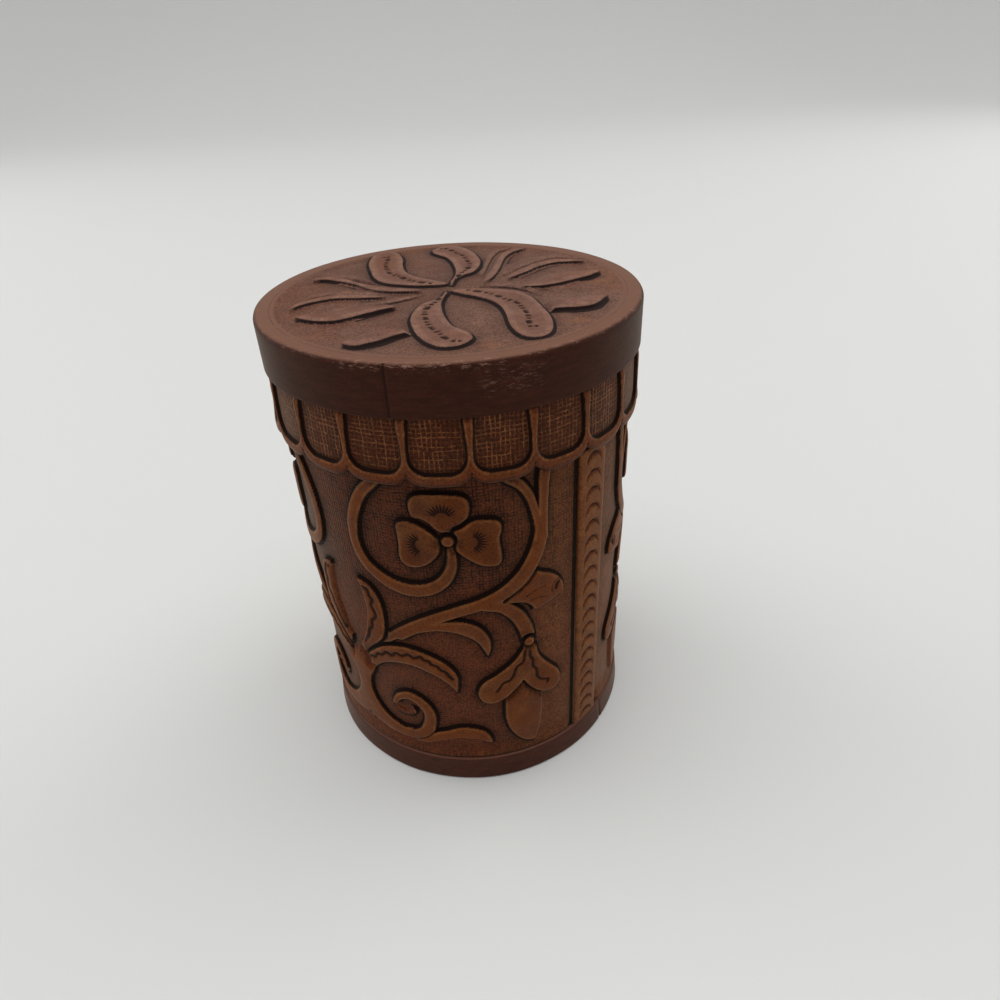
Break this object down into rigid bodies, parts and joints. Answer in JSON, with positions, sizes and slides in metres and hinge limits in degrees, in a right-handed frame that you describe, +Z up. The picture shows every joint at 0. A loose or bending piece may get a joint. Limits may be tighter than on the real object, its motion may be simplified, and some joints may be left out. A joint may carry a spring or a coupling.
{
  "type": "lidded container",
  "caption": "Round leather-covered container with carved scroll panels, a scalloped band and an over-cap lid that lifts off its neck.",
  "frame": {"origin": "middle of the underside, on the surface it stands on", "axes": "+Z up along the container's axis, -Y is the front shown in the picture"},
  "size_m": [0.1128, 0.1128, 0.1536],
  "materials": {
    "tooled_leather": "satin",
    "band_leather": "satin",
    "medallion_leather": "satin",
    "fibre_board": "matte",
    "lining_cloth": "matte"
  },
  "bodies": {
    "canister": {"body_tube": "fibre_board", "base_board": "fibre_board", "base_band": "band_leather", "base_pad": "band_leather", "lining_sleeve": "lining_cloth", "lining_floor": "lining_cloth", "neck_facing": "band_leather", "tooled_panel_front": "tooled_leather", "tooled_panel_back": "tooled_leather", "seam_strip_right": "tooled_leather", "seam_strip_left": "tooled_leather", "scallop_band": "tooled_leather"},
    "lid": {"lid_board": "fibre_board", "lid_hoop": "fibre_board", "lid_band": "band_leather", "lid_medallion": "medallion_leather", "lid_lining": "lining_cloth", "hoop_lining": "lining_cloth"}
  },
  "joints": [
    {"name": "lid_lift", "type": "slide", "parent": "canister", "child": "lid", "axis": [0, 0, 1], "range_m": [0, 0.15]}
  ]
}
